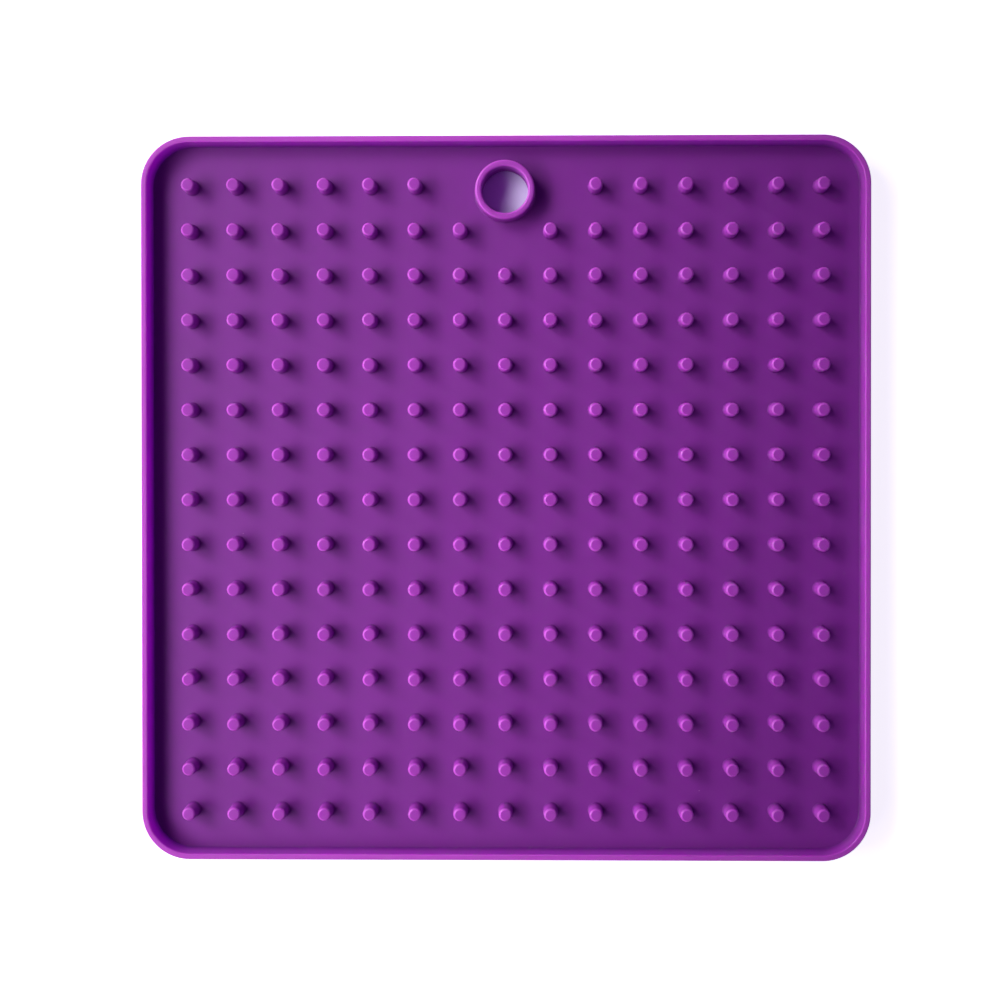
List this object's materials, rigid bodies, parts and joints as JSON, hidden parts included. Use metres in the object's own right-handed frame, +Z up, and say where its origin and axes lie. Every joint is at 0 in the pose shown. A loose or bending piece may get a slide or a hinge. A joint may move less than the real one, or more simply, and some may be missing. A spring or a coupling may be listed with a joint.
{
  "type": "lick mat",
  "caption": "Square silicone lick mat with rounded corners: a thin tray with a raised rim, an even grid of blunt pegs on its floor and a hanging eyelet near one edge.",
  "frame": {"origin": "under the middle of the mat, on the surface it lies on", "axes": "+Z up out of the tray, +Y towards the edge with the hanging eyelet, +X along the peg rows"},
  "size_m": [0.2, 0.1986, 0.007],
  "materials": {
    "silicone": "matte purple silicone"
  },
  "bodies": {
    "root": {"floor_sheet": "silicone", "rim": "silicone", "hanging_eyelet": "silicone", "peg_row_01": "silicone", "peg_row_02": "silicone", "peg_row_03": "silicone", "peg_row_04": "silicone", "peg_row_05": "silicone", "peg_row_06": "silicone", "peg_row_07": "silicone", "peg_row_08": "silicone", "peg_row_09": "silicone", "peg_row_10": "silicone", "peg_row_11": "silicone", "peg_row_12": "silicone", "peg_row_13": "silicone", "peg_row_14": "silicone", "peg_row_15": "silicone"}
  },
  "joints": []
}
